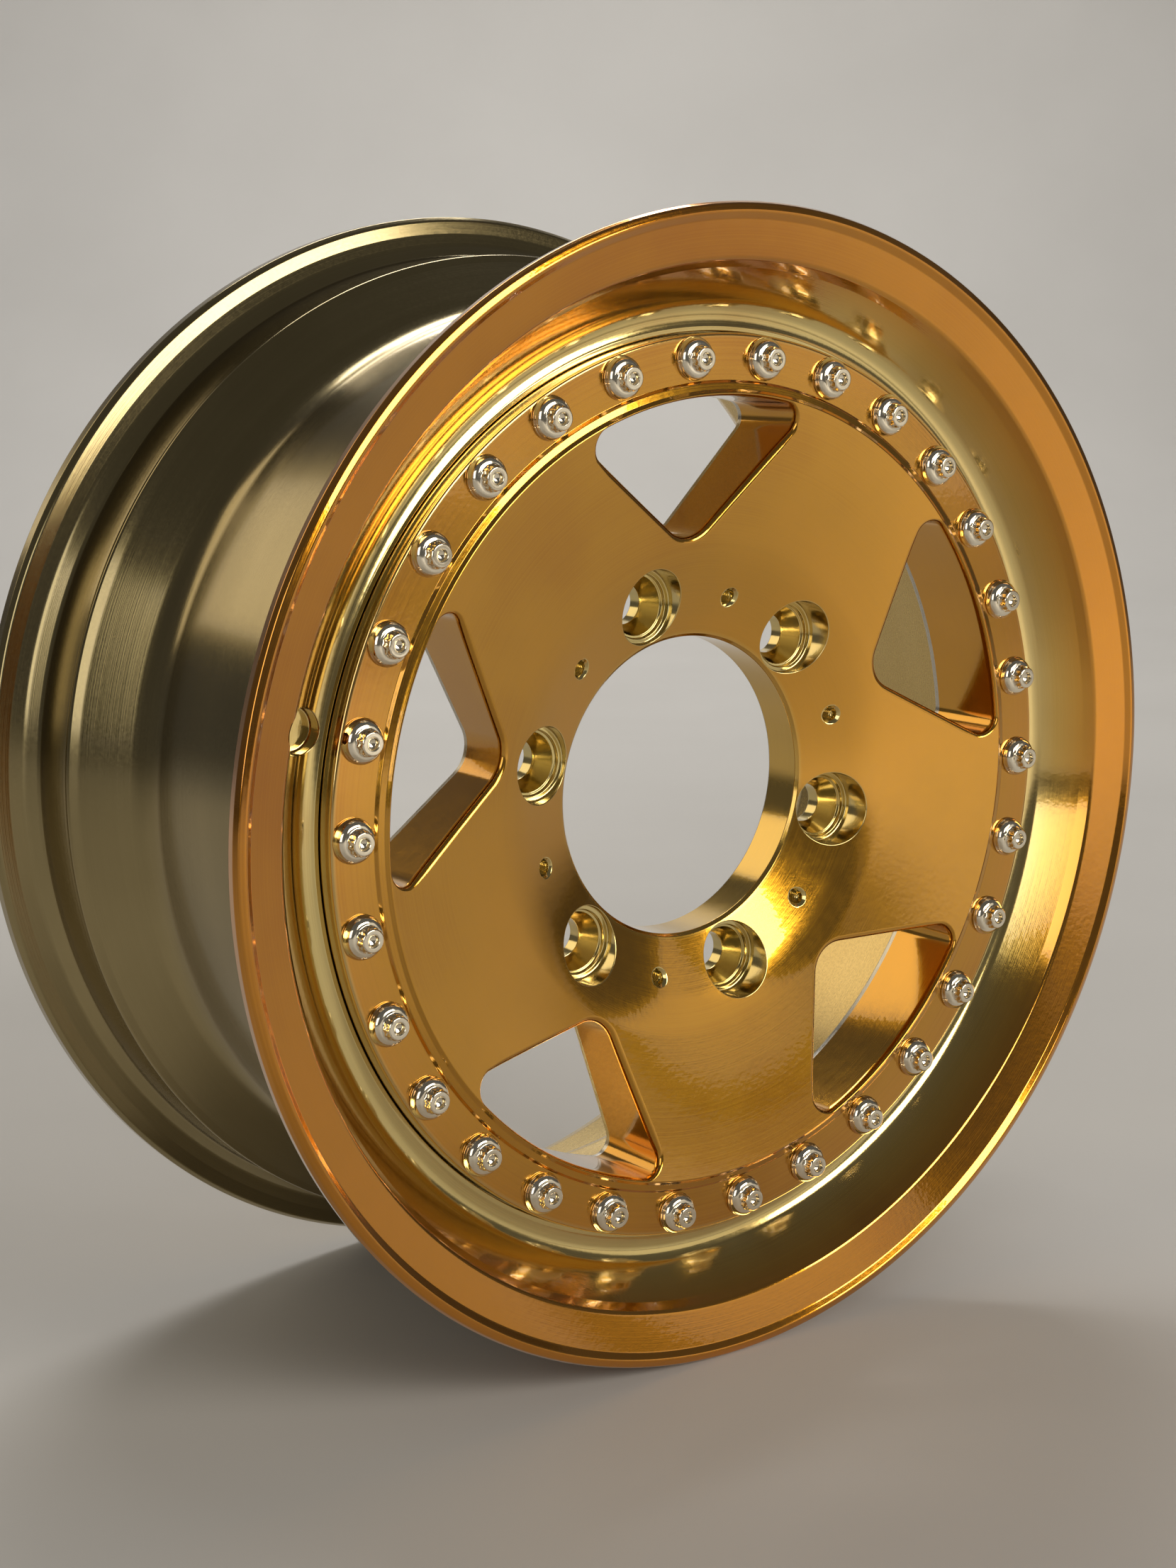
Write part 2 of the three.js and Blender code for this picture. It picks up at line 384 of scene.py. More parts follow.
def shade(obj, profile=None, normals=None, group=38.0, blend=32.0):
    """Sets every corner's normal: from the profile on turned faces, and averaged over near neighbours elsewhere. Returns the turned faces' mask, and each face's middle as (radius, depth)."""
    me = obj.data
    co, no, ce, area, lv, ls, lt = read(me)
    nf = len(no)
    owner = np.repeat(np.arange(nf), lt)
    phi = np.arctan2(ce[:, 0], ce[:, 2])
    rc, zc = np.hypot(ce[:, 0], ce[:, 2]), ce[:, 1] + MID
    lathe = np.zeros(nf, bool)
    seg_of = np.zeros(nf, int)
    corner = np.repeat(no, lt, axis=0).copy()
    if profile is not None:
        a, b = profile, np.roll(profile, -1, 0)
        na, nb = normals, np.roll(normals, -1, 0)
        ab = b - a
        len2 = np.maximum((ab**2).sum(1), 1e-12)
        n2 = np.stack([no[:, 0] * np.sin(phi) + no[:, 2] * np.cos(phi), no[:, 1]], 1)
        best = np.full(nf, 1e9)
        for i in range(len(a)):
            q0, q1 = rc - a[i, 0], zc - a[i, 1]
            t = np.clip((q0 * ab[i, 0] + q1 * ab[i, 1]) / len2[i], 0, 1)
            dist = np.hypot(q0 - t * ab[i, 0], q1 - t * ab[i, 1])
            m0 = na[i, 0] * (1 - t) + nb[i, 0] * t
            m1 = na[i, 1] * (1 - t) + nb[i, 1] * t
            dot = (m0 * n2[:, 0] + m1 * n2[:, 1]) / np.hypot(m0, m1)
            cost = dist + np.where(dot > 0.985, 0, 1e3)
            better = cost < best
            best[better], seg_of[better] = cost[better], i
        lathe = best < 0.05
        mine = lathe[owner]
        idx = np.flatnonzero(mine)
        v = co[lv[idx]]
        vr, vz = np.hypot(v[:, 0], v[:, 2]), v[:, 1] + MID
        s = seg_of[owner[idx]]
        t = np.clip(
            ((vr - a[s, 0]) * ab[s, 0] + (vz - a[s, 1]) * ab[s, 1]) / len2[s], 0, 1
        )
        m = na[s] * (1 - t)[:, None] + nb[s] * t[:, None]
        m /= np.linalg.norm(m, axis=1)[:, None]
        sv, cv = v[:, 0] / vr, v[:, 2] / vr
        corner[idx] = np.stack([m[:, 0] * sv, m[:, 1], m[:, 0] * cv], 1)
        known = np.zeros((len(co), 3))
        has = np.zeros(len(co), bool)
        known[lv[idx]], has[lv[idx]] = corner[idx], True
    else:
        known, has = np.zeros((len(co), 3)), np.zeros(len(co), bool)
    cg, cb = math.cos(math.radians(group)), math.cos(math.radians(blend))
    rest = np.flatnonzero(~lathe[owner])
    rest = rest[np.argsort(lv[rest], kind="stable")]
    vert = lv[rest]
    first = np.r_[0, np.flatnonzero(np.diff(vert)) + 1]
    size = np.diff(np.r_[first, len(vert)])
    group_of = np.repeat(np.arange(len(first)), size)
    reps = size[group_of]
    pair_a = np.repeat(np.arange(len(rest)), reps)
    start_a = np.cumsum(np.r_[0, reps[:-1]])
    pair_b = first[group_of][pair_a] + (np.arange(len(pair_a)) - start_a[pair_a])
    fa, fb = owner[rest[pair_a]], owner[rest[pair_b]]
    w = area[fb] * (np.einsum("ij,ij->i", no[fa], no[fb]) > cg)
    total = np.add.reduceat(no[fb] * w[:, None], start_a, axis=0)
    total /= np.maximum(np.linalg.norm(total, axis=1), 1e-12)[:, None]
    own = no[owner[rest]]
    use = has[vert] & (np.einsum("ij,ij->i", known[vert], own) > cb)
    corner[rest] = np.where(use[:, None], known[vert], total)
    me.polygons.foreach_set("use_smooth", np.ones(nf, bool))
    me.normals_split_custom_set(corner.tolist())
    me.update()
    return lathe, rc, zc, corner


# ------------------------------------------------------------------ materials
def nodes_of(name):
    m = bpy.data.materials.new(name)
    m.use_nodes = True
    nt = m.node_tree
    nt.nodes.clear()
    out = nt.nodes.new("ShaderNodeOutputMaterial")
    bsdf = nt.nodes.new("ShaderNodeBsdfPrincipled")
    nt.links.new(bsdf.outputs[0], out.inputs["Surface"])
    return m, nt, bsdf


def add(nt, kind, **values):
    n = nt.nodes.new(kind)
    for key, value in values.items():
        if hasattr(n, key):
            setattr(n, key, value)
        else:
            n.inputs[key.replace("_", " ")].default_value = value
    return n


def link(nt, a, b):
    nt.links.new(a, b)


def math_node(nt, op, a, b=None, clamp=False):
    n = nt.nodes.new("ShaderNodeMath")
    n.operation, n.use_clamp = op, clamp
    for i, x in enumerate((a, b)):
        if x is None:
            continue
        if isinstance(x, (int, float)):
            n.inputs[i].default_value = x
        else:
            nt.links.new(x, n.inputs[i])
    return n.outputs[0]


def ramp(nt, fac, stops):
    n = nt.nodes.new("ShaderNodeValToRGB")
    el = n.color_ramp.elements
    while len(el) < len(stops):
        el.new(0.5)
    for e, (pos, col) in zip(el, stops):
        e.position = pos
        e.color = (*col, 1) if len(col) == 3 else col
    nt.links.new(fac, n.inputs["Fac"])
    return n.outputs["Color"]


def span(nt, value, a, b, lo, hi):
    n = nt.nodes.new("ShaderNodeMapRange")
    nt.links.new(value, n.inputs["Value"])
    for key, x in zip(("From Min", "From Max", "To Min", "To Max"), (a, b, lo, hi)):
        n.inputs[key].default_value = x
    return n.outputs["Result"]


def place(nt):
    """Object position, radius from the axle, and position along it, in metres."""
    coord = nt.nodes.new("ShaderNodeTexCoord").outputs["Object"]
    sep = nt.nodes.new("ShaderNodeSeparateXYZ")
    nt.links.new(coord, sep.inputs[0])
    x, y, z = sep.outputs
    r = math_node(nt, "SQRT", math_node(nt, "ADD", math_node(nt, "MULTIPLY", x, x), math_node(nt, "MULTIPLY", z, z)))
    return coord, x, y, z, r


def vec(nt, x, y, z):
    n = nt.nodes.new("ShaderNodeCombineXYZ")
    for i, s in enumerate((x, y, z)):
        if isinstance(s, (int, float)):
            n.inputs[i].default_value = s
        else:
            nt.links.new(s, n.inputs[i])
    return n.outputs[0]


def noise(nt, vector, scale, detail=3.0, rough=0.5):
    n = nt.nodes.new("ShaderNodeTexNoise")
    n.inputs["Scale"].default_value = scale
    n.inputs["Detail"].default_value = detail
    n.inputs["Roughness"].default_value = rough
    nt.links.new(vector, n.inputs["Vector"])
    return n.outputs["Fac"]


def bump(nt, height, strength, distance, normal=None):
    n = nt.nodes.new("ShaderNodeBump")
    n.inputs["Strength"].default_value = strength
    n.inputs["Distance"].default_value = distance
    nt.links.new(height, n.inputs["Height"])
    if normal is not None:
        nt.links.new(normal, n.inputs["Normal"])
    return n.outputs["Normal"]


def candy_gold(name, stops, rough):
    """Transparent gold over a turned bright base, under a clear coat; stops give its colour by radius in mm."""
    m, nt, b = nodes_of(name)
    coord, x, y, z, r = place(nt)
    cloud = noise(nt, coord, 7.0, 4.0, 0.55)
    fine = noise(nt, coord, 240.0, 2.0)
    turn = noise(nt, vec(nt, math_node(nt, "MULTIPLY", r, 1.0), math_node(nt, "MULTIPLY", y, 1.0), 0.0), 2600.0, 2.0)
    tone = math_node(nt, "ADD", math_node(nt, "MULTIPLY", cloud, 0.8), math_node(nt, "MULTIPLY", turn, 0.2))
    low, high = stops[0][0], stops[-1][0]
    where = span(nt, r, low / 1000, high / 1000, 0.0, 1.0)
    coat = ramp(nt, where, [((radius - low) / (high - low), col) for radius, col in stops])
    depth = ramp(nt, tone, [(0.30, (0.66, 0.56, 0.42)), (0.46, (0.84, 0.84, 0.76)), (0.60, (0.93, 0.90, 0.84)), (0.72, (1.0, 1.0, 1.0))])
    mix = nt.nodes.new("ShaderNodeMix")
    mix.data_type, mix.blend_type = "RGBA", "MULTIPLY"
    mix.inputs["Factor"].default_value = 1.0
    link(nt, coat, mix.inputs[6])
    link(nt, depth, mix.inputs[7])
    link(nt, mix.outputs[2], b.inputs["Base Color"])
    b.inputs["Metallic"].default_value = 1.0
    link(nt, span(nt, math_node(nt, "ADD", math_node(nt, "MULTIPLY", turn, 0.6), math_node(nt, "MULTIPLY", fine, 0.4)), 0.3, 0.7, rough * 0.8, rough * 1.25), b.inputs["Roughness"])
    peel = noise(nt, coord, 520.0, 1.0)
    under = bump(nt, turn, 0.05, 0.0002)
    link(nt, bump(nt, peel, 0.035, 0.0004, under), b.inputs["Normal"])
    b.inputs["Coat Weight"].default_value = 1.0
    b.inputs["Coat Roughness"].default_value = 0.03
    b.inputs["Coat IOR"].default_value = 1.5
    link(nt, bump(nt, peel, 0.03, 0.0004), b.inputs["Coat Normal"])
    return m


def satin_gold(name, deep, light, smooth, rough):
    """Spun barrel: olive gold with fine turning lines."""
    m, nt, b = nodes_of(name)
    coord, x, y, z, r = place(nt)
    along = vec(nt, math_node(nt, "MULTIPLY", x, 0.02), y, math_node(nt, "MULTIPLY", z, 0.02))
    lines = noise(nt, vec(nt, math_node(nt, "MULTIPLY", r, 1.0), math_node(nt, "MULTIPLY", y, 1.0), 0.0), 1800.0, 3.0, 0.65)
    drift = noise(nt, along, 60.0, 2.0)
    cloud = noise(nt, coord, 7.0, 4.0, 0.6)
    tone = math_node(nt, "ADD", math_node(nt, "MULTIPLY", cloud, 0.55), math_node(nt, "ADD", math_node(nt, "MULTIPLY", lines, 0.2), math_node(nt, "MULTIPLY", drift, 0.25)))
    link(nt, ramp(nt, tone, [(0.3, deep), (0.7, light)]), b.inputs["Base Color"])
    b.inputs["Metallic"].default_value = 1.0
    grain = noise(nt, coord, 900.0, 2.0)
    link(nt, span(nt, math_node(nt, "ADD", math_node(nt, "MULTIPLY", lines, 0.5), math_node(nt, "MULTIPLY", grain, 0.5)), 0.3, 0.7, smooth, rough), b.inputs["Roughness"])
    under = bump(nt, lines, 0.09, 0.0003)
    link(nt, bump(nt, grain, 0.02, 0.0002, under), b.inputs["Normal"])
    b.inputs["Coat Weight"].default_value = 0.4
    b.inputs["Coat Roughness"].default_value = 0.1
    return m


def bare_metal(name):
    """Machined aluminium left without colour: cutter streaks and a satin grain."""
    m, nt, b = nodes_of(name)
    coord, x, y, z, r = place(nt)
    streak = noise(nt, vec(nt, math_node(nt, "MULTIPLY", x, 0.12), y, math_node(nt, "MULTIPLY", z, 0.12)), 1500.0, 3.0, 0.6)
    cloud = noise(nt, coord, 22.0, 3.0)
    link(nt, ramp(nt, math_node(nt, "ADD", math_node(nt, "MULTIPLY", cloud, 0.6), math_node(nt, "MULTIPLY", streak, 0.4)), [(0.3, (0.52, 0.48, 0.41)), (0.7, (0.68, 0.63, 0.55))]), b.inputs["Base Color"])
    b.inputs["Metallic"].default_value = 1.0
    link(nt, span(nt, streak, 0.3, 0.7, 0.2, 0.36), b.inputs["Roughness"])
    link(nt, bump(nt, streak, 0.15, 0.0003), b.inputs["Normal"])
    return m


def bright_steel(name):
    """Polished plated steel with faint handling marks; the warm yellow in its colour is painted reflection of the
    surrounding gold.
    """
    m, nt, b = nodes_of(name)
    coord, x, y, z, r = place(nt)
    cloud = noise(nt, coord, 260.0, 3.0)
    marks = noise(nt, coord, 1700.0, 2.0, 0.7)
    # pale steel colour with a warm yellow tint that is painted reflection of the gold rim
    link(nt, ramp(nt, cloud, [(0.3, (0.80, 0.72, 0.56)), (0.7, (0.92, 0.84, 0.68))]), b.inputs["Base Color"])
    b.inputs["Metallic"].default_value = 1.0
    link(nt, span(nt, marks, 0.3, 0.75, 0.07, 0.16), b.inputs["Roughness"])
    link(nt, bump(nt, marks, 0.02, 0.0002), b.inputs["Normal"])
    return m


def sealant_mat(name):
    m, nt, b = nodes_of(name)
    coord, x, y, z, r = place(nt)
    lump = noise(nt, coord, 180.0, 3.0)
    link(nt, ramp(nt, lump, [(0.3, (0.55, 0.54, 0.50)), (0.7, (0.70, 0.69, 0.65))]), b.inputs["Base Color"])
    link(nt, span(nt, lump, 0.3, 0.7, 0.42, 0.6), b.inputs["Roughness"])
    link(nt, bump(nt, lump, 0.3, 0.0006), b.inputs["Normal"])
    return m


AMBER, HONEY, STRAW = (0.74, 0.305, 0.018), (0.74, 0.365, 0.028), (0.78, 0.53, 0.13)
GOLD = candy_gold("candy_gold_face", [(54, STRAW), (57, HONEY), (141, HONEY), (160, (0.78, 0.365, 0.04)), (162, (0.86, 0.68, 0.30))], 0.14)
GOLD_CUT = candy_gold("candy_gold_pocket", [(50, (0.84, 0.68, 0.30)), (90, (0.82, 0.64, 0.26))], 0.14)
GOLD_LIP = candy_gold("candy_gold_lip", [(162, (0.86, 0.68, 0.30)), (171, (0.85, 0.66, 0.27)), (177, (0.80, 0.51, 0.12)), (183, (0.78, 0.40, 0.05)), (188, AMBER), (206, AMBER)], 0.12)
# the barrel is one finish inside and out: the outside copy is darkened as painted shade, the inside copy lightened
# as painted light
SATIN_SHADED_OUTSIDE = satin_gold("satin_gold_barrel_painted_shade", (0.25, 0.195, 0.085), (0.38, 0.305, 0.15), 0.13, 0.24)
SATIN_LIT_INSIDE = satin_gold("satin_gold_inside_painted_light", (0.58, 0.41, 0.15), (0.72, 0.53, 0.22), 0.2, 0.34)
BARE = bare_metal("bare_aluminium")
STEEL = bright_steel("bright_steel")
SEALANT = sealant_mat("sealant_bead")

# ---------------------------------------------------------------- centre disc
CENTRE = [
    (54.5, 35, 0.8),
    (54.5, 19.9, 0.6),
    (55.6, 18.8, 0.8),
    (79.0, 10.4, 110.0),
    (87.0, 8.2, 110.0),
    (141.2, -2.52, 0.9),
    (142.5, -1.5, 0.5),
    (144.7, -1.1, 0.5),
    (145.6, 0, 0.3),
    (161.9, 0, 1.4),
    (161.9, 10, 0.3),
    (142.9, 10, 0.3),
    (142.9, 30.5, 0.6),
    (90.5, 30.5, 3.0),
    (86.0, 35, 0.9),
]
cp, cn = rounded(CENTRE)
disc_face = face_depth(cp, cn)
flat0 = lambda x: np.zeros_like(x)

cutters = []
wp, wn = window_outline()
# the edge rounding narrows toward the outer arc, beside the ring's step
wn = wn * np.interp(np.hypot(wp[:, 0], wp[:, 1]), [126.0, 138.5], [1.0, 0.42])[:, None]
for c in clocks(WINDOWS, CLOCK):
    k = Cutter(spin(wp, c), spin(wn, c), disc_face)
    k.mouth(2.9, -14.0, steps=9)
    # behind this depth the wall is bare metal, a thin band that also stands in for a painted reflection
    k.at(0, BARE_AND_REFLECTION_FROM)
    k.mat = 1
    k.exit(0, 30.5, 0.5, 42.0)
    cutters.append(k.made())
for c in clocks(LUGS, CLOCK):
    k = Cutter(*circle(LUG_CIRCLE, c, LUG_POCKET, 96), disc_face)
    k.mat = 2
    k.mouth(0.35, -6.0, ramp=0.15, steps=5)
    k.at(0, 19.9)
    k.arc(0, 19.9, -0.6, 20.5, 1)
    k.at(-1.55, 20.5)
    k.arc(-1.55, 20.5, -1.85, 20.8, -1, 4)
    k.at(-1.95, 21.7)
    k.arc(-1.95, 21.7, -2.25, 22.1, 1, 4)
    k.at(-2.75, 22.15)
    k.arc(-2.75, 22.15, -3.05, 22.5, -1, 4)
    k.at(-6.0, 29.0)
    k.at(-6.25, 29.35)
    k.at(-6.4, 29.75)
    k.exit(-6.4, 35.0, 0.6, 42.0)
    cutters.append(k.made())
for c in clocks(LUGS, CLOCK + 30):
    k = Cutter(*circle(LUG_CIRCLE, c, 2.6, 48), disc_face)
    k.mat = 2
    k.at(1.35, 2.0)
    k.at(1.35, -0.02, True)
    k.at(1.2, 0.01, True)
    k.at(1.0, 0.05, True)
    k.at(0.85, 0.16, True)
    k.at(0.1, 0.92, True)
    k.at(0.0, 1.05, True)
    z = 15.8
    while z < 23.5:
        k.at(0.0, z)
        k.at(0.32, z + 0.42)
        k.at(0.32, z + 0.58)
        k.at(0.0, z + 1.0)
        z += 1.0
    k.at(0.0, 24.6)
    k.at(-2.5, 25.4)
    cutters.append(k.made())
for c in clocks(BOLTS, CLOCK):
    k = Cutter(*circle(BOLT_CIRCLE, c, 4.3, 32), disc_face)
    k.mouth(0.4, -3.0, ramp=0.2, steps=4)
    k.at(0, 5.0)
    k.exit(0, 10.0, 0.3, 13.0, 3)
    cutters.append(k.made())

disc = cut("centre_disc_machined", turned(cp), cutters, [GOLD, BARE, GOLD_CUT])
lathe, rc, zc, no = shade(disc, cp, cn)
index = np.zeros(len(disc.data.polygons), np.int32)
disc.data.polygons.foreach_get("material_index", index)
behind = lathe & ((zc > 30.3) | ((zc > 9.7) & (rc > 142.0)))
index[lathe] = 0
index[behind] = 1
disc.data.polygons.foreach_set("material_index", index)
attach(disc, "root")
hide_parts("centre_disc")

# ------------------------------------------------------------------ outer lip
LIP = [
    (143.5, 10.3, 0.3),
    (162.2, 10.3, 0.2),
    (162.2, 6.6, 0.4),
    (163.9, 6.6, 0.8),
    (169.6, 8.8, 8.5),
    (183.7, -7.6, 1.0),
    (186.4, -11.6, 3.0),
    (199.6, -15.4, 2.0),
    (202.0, -17.2, 1.6),
    (204.6, -16.4, 1.2),
    (205.4, -14.4, 1.2),
    (204.6, -9.9, 1.4),
    (194.0, -9.2, 2.5),
    (190.2, -5.2, 3.0),
    (189.4, 8.0, 2.0),
    (190.6, 11.4, 1.2),
    (188.6, 15.3, 0.8),
    (143.5, 15.3, 0.3),
]
lp, ln = rounded(LIP)
lip_face = face_depth(lp, ln)
cutters = []
for c in clocks(BOLTS, CLOCK):
    k = Cutter(*circle(BOLT_CIRCLE, c, 4.3, 32), flat0)
    k.at(0.3, 6.0)
    k.at(0.3, 10.28)
    k.at(0, 10.6)
    k.exit(0, 15.3, 0.3, 18.0, 3)
    cutters.append(k.made())
k = Cutter(*slot(VALVE_SLOT_IN, VALVE_R, CLOCK, VALVE_SLOT_HALF), lip_face)
k.mouth(0.45, -24.0, ramp=0.2, steps=6)
k.at(0, VALVE_FLOOR - 0.6)
k.arc(0, VALVE_FLOOR - 0.6, -0.6, VALVE_FLOOR, 1)
a = math.radians(CLOCK)
hole = np.array([VALVE_R * math.sin(a), VALVE_R * math.cos(a)])
u = k.outline - hole
u /= np.linalg.norm(u, axis=1)[:, None]
for r, z in ((4.5, VALVE_FLOOR + 0.01), (4.27, VALVE_FLOOR + 0.1), (4.15, VALVE_FLOOR + 0.4), (4.15, 15.0), (4.3, 15.25), (4.7, 15.33), (4.9, 22.0)):
    k.ring(hole + r * u, z)
cutters.append(k.made())
lip = cut("outer_lip_turned", turned(lp), cutters, [GOLD_LIP, BARE])
shade(lip, lp, ln)
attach(lip, "root")
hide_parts("outer_lip")

# --------------------------------------------------------------- inner barrel
BARREL = [
    (143.5, 15.6, 0.3),
    (171.5, 15.6, 0.3),
    (171.5, 21.4, 0.8),
    (170.0, 23.5, 2.0),
    (170.0, 101.6, 40.0),
    (172.4, 108.6, 30.0),
    (187.6, 125.4, 8.0),
    (190.8, 128.2, 1.6),
    (189.2, 131.6, 3.0),
    (190.1, 150.6, 3.5),
    (194.4, 155.0, 6.0),
    (199.0, 157.0, 0.9),
    (204.0, 158.0, 1.6),
    (205.4, 160.0, 1.2),
    (205.2, 164.8, 0.9),
    (203.6, 166, 0.8),
    (200.8, 166, 2.0),
    (187.6, 158.6, 5.0),
    (184.8, 152.0, 8.0),
    (183.6, 128.4, 12.0),
    (167.2, 109.4, 12.0),
    (165.0, 104.4, 8.0),
    (165.0, 26.2, 3.5),
    (160.4, 21.6, 3.5),
    (143.5, 21.6, 0.4),
]
bp, bn = rounded(BARREL)
cutters = []
for c in clocks(BOLTS, CLOCK):
    k = Cutter(*circle(BOLT_CIRCLE, c, 4.15, 32), flat0)
    k.at(0, 12.0)
    k.at(0, 20.9)
    k.at(0.5, 21.5)
    k.at(0.75, 21.62)
    k.at(0.75, 25.0)
    cutters.append(k.made())
barrel = cut("inner_barrel_spun", turned(bp), cutters, [SATIN_SHADED_OUTSIDE, SATIN_LIT_INSIDE])
lathe, rc, zc, no = shade(barrel, bp, bn)
# faces turned toward the axle inside the barrel take the lighter copy (painted light), the rest the darker copy
# (painted shade)
inner = inward(barrel) & (rc > 160) & (zc > 21.6)
barrel.data.polygons.foreach_set("material_index", inner.astype(np.int32))
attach(barrel, "root")
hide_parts("inner_barrel")

# -------------------------------------------------------------- joint sealant
sp, sn = rounded(
    [(171.6, 15.5, 0.2), (173.7, 15.5, 0.2), (173.1, 18.2, 1.0), (171.6, 19.2, 0.3)],
    18.0,
)
sv, sf = turned(sp, 480)
ang = np.arctan2(sv[:, 0], sv[:, 2])
rad_ = np.hypot(sv[:, 0], sv[:, 2])
wave = sum(
    a * np.sin(k * ang + p)
    for k, a, p in ((7, 0.10, 0.3), (17, 0.09, 1.9), (29, 0.07, 4.0), (53, 0.05, 2.2), (97, 0.04, 5.1))
)
grow = 1 + wave * np.clip((rad_ - 171.7) / 1.6, 0, 1) / rad_
sv[:, 0] *= grow
sv[:, 2] *= grow
bead = bpy.data.objects.new("joint_sealant_bead", new_mesh("joint_sealant_bead", sv, sf))
bpy.context.scene.collection.objects.link(bead)
bead.data.materials.append(SEALANT)
shade(bead)
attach(bead, "root")
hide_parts("joint_sealant")


# ------------------------------------------------------------- assembly bolts
def twelve(theta, flats=7.55):
    """Radius of a twelve-point head at an angle, points slightly dulled."""
    def hexa(t):
        t = (t + np.pi / 6) % (np.pi / 3) - np.pi / 6
        return flats / 2 / np.cos(t)

    star = np.maximum(hexa(theta), hexa(theta + np.pi / 6))
    return np.minimum(star, 4.28)


def bolt_rings():
    """One bolt on its own axis: rings of (radius, depth) from the recess out and back."""
    n = 84
    th = 2 * np.pi * np.arange(n) / n
    star = twelve(th)
    rings = []

    def plain(r, z):
        rings.append((np.full(n, float(r)), float(z)))

    def pointed(limit, z):
        rings.append((np.minimum(star, limit), float(z)))

    # recess, from its centre out
    plain(0.05, -4.7)
    plain(0.9, -4.95)
    plain(1.75, -5.3)
    plain(1.95, -5.5)
    plain(2.0, -5.75)
    plain(2.02, -6.85)
    plain(2.1, -7.1)
    plain(2.3, -7.27)
    plain(2.5, -7.3)
    # top face and the chamfer over the points
    plain(3.45, -7.3)
    pointed(3.62, -7.27)
    pointed(3.8, -7.16)
    pointed(4.0, -6.96)
    pointed(4.2, -6.7)
    pointed(4.3, -6.45)
    pointed(4.3, -4.6)
    # fillet from the points into the domed flange
    for t, r in ((0.25, 4.36), (0.55, 4.47), (0.85, 4.62), (1.0, 4.76)):
        rings.append((star * (1 - t) + r * t, -4.6 + 0.8 * t))
    # dome
    for i in range(1, 11):
        a = math.radians(8.2 * i)
        plain(4.76 + 2.6 * math.sin(a) / math.sin(math.radians(82)), -3.8 + 2.6 * (1 - math.cos(a)) / (1 - math.cos(math.radians(82))))
    plain(7.5, -0.95)
    plain(7.6, -0.7)
    plain(7.6, -0.3)
    plain(7.5, -0.12)
    plain(7.3, -0.02)
    plain(4.05, -0.02)
    plain(3.95, 0.1)
    plain(3.95, 19.5)
    # thread at the free end
    pitch, z0, z1 = 1.25, 20.0, 26.6
    count = int((z1 - z0) / pitch * 7)
    for i in range(count + 1):
        z = z0 + (z1 - z0) * i / count
        w = ((z - z0) / pitch - th / (2 * np.pi)) % 1.0
        tri = np.abs(2 * w - 1)
        depth = 0.62 * np.clip((tri - 0.12) / 0.76, 0, 1)
        rings.append((3.95 - depth * min(1.0, i / 6.0), z))
    plain(3.3, 27.0)
    plain(3.0, 27.35)
    plain(2.8, 27.4)
    plain(0.05, 27.4)
    return lofted([np.stack([r * np.sin(th), np.full(n, z), r * np.cos(th)], 1) for r, z in rings])


# one bolt is shaded once, then copied with its corner normals turned
bv, bf, _ = bolt_rings()
pattern = bpy.data.objects.new("pattern", new_mesh("pattern", bv, bf))
corner_normals = shade(pattern, group=30.0)[3]
pattern_mesh = pattern.data
bpy.data.objects.remove(pattern)

rng = np.random.default_rng(7)
for i, c in enumerate(clocks(BOLTS, CLOCK)):
    name = f"assembly_bolt_{i + 1:02d}"
    t = float(rng.uniform(0, math.pi / 6))
    turn = np.array([[math.cos(t), 0, math.sin(t)], [0, 1, 0], [-math.sin(t), 0, math.cos(t)]])
    a = math.radians(c)
    v = bv @ turn.T + [BOLT_CIRCLE * math.sin(a), -MID, BOLT_CIRCLE * math.cos(a)]
    me = pattern_mesh.copy()
    me.name = name + "_plated"
    me.vertices.foreach_set("co", (v * 0.001).ravel())
    me.update()
    me.normals_split_custom_set((corner_normals @ turn.T).tolist())
    o = bpy.data.objects.new(name + "_plated", me)
    bpy.context.scene.collection.objects.link(o)
    me.materials.append(STEEL)
    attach(o, "root")
    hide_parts(name)
bpy.data.meshes.remove(pattern_mesh)

# ---------------------------------------------------------- studio and camera
def stage_material():
    m, nt, b = nodes_of("studio_paper")
    coord = nt.nodes.new("ShaderNodeTexCoord").outputs["Object"]
    soft = noise(nt, coord, 3.0, 3.0)
    link(nt, ramp(nt, soft, [(0.3, (0.60, 0.585, 0.56)), (0.7, (0.64, 0.625, 0.60))]), b.inputs["Base Color"])
    b.inputs["Roughness"].default_value = 0.75
    return m


FLOOR = -0.2054


def sweep():
    """Floor that curves up into a plain backdrop behind the wheel."""
    back = Vector((0.59974, 0.77884, 0)).normalized()
    side = Vector((back.y, -back.x, 0))
    run = [(-4.0, 0.0), (2.2, 0.0)]
    for i in range(1, 13):
        a = math.pi / 2 * i / 12
        run.append((2.2 + 1.0 * math.sin(a), 1.0 - 1.0 * math.cos(a)))
    run.append((3.2, 4.0))
    v, f = [], []
    for d, h in run:
        for s in (-5.0, 12.0):
            p = back * d + side * s
            v.append((p.x, p.y, FLOOR + h))
    for i in range(len(run) - 1):
        f.append((2 * i, 2 * i + 1, 2 * i + 3, 2 * i + 2))
    me = bpy.data.meshes.new("studio_sweep")
    me.from_pydata(v, [], f)
    me.polygons.foreach_set("use_smooth", [True] * len(f))
    me.update()
    o = bpy.data.objects.new("studio_sweep", me)
    bpy.context.scene.collection.objects.link(o)
    o.data.materials.append(stage_material())
    return o


sweep()

world = bpy.data.worlds.new("studio")
bpy.context.scene.world = world
world.use_nodes = True
bg = world.node_tree.nodes["Background"]
bg.inputs["Color"].default_value = (0.30, 0.29, 0.275, 1)
bg.inputs["Strength"].default_value = 0.34


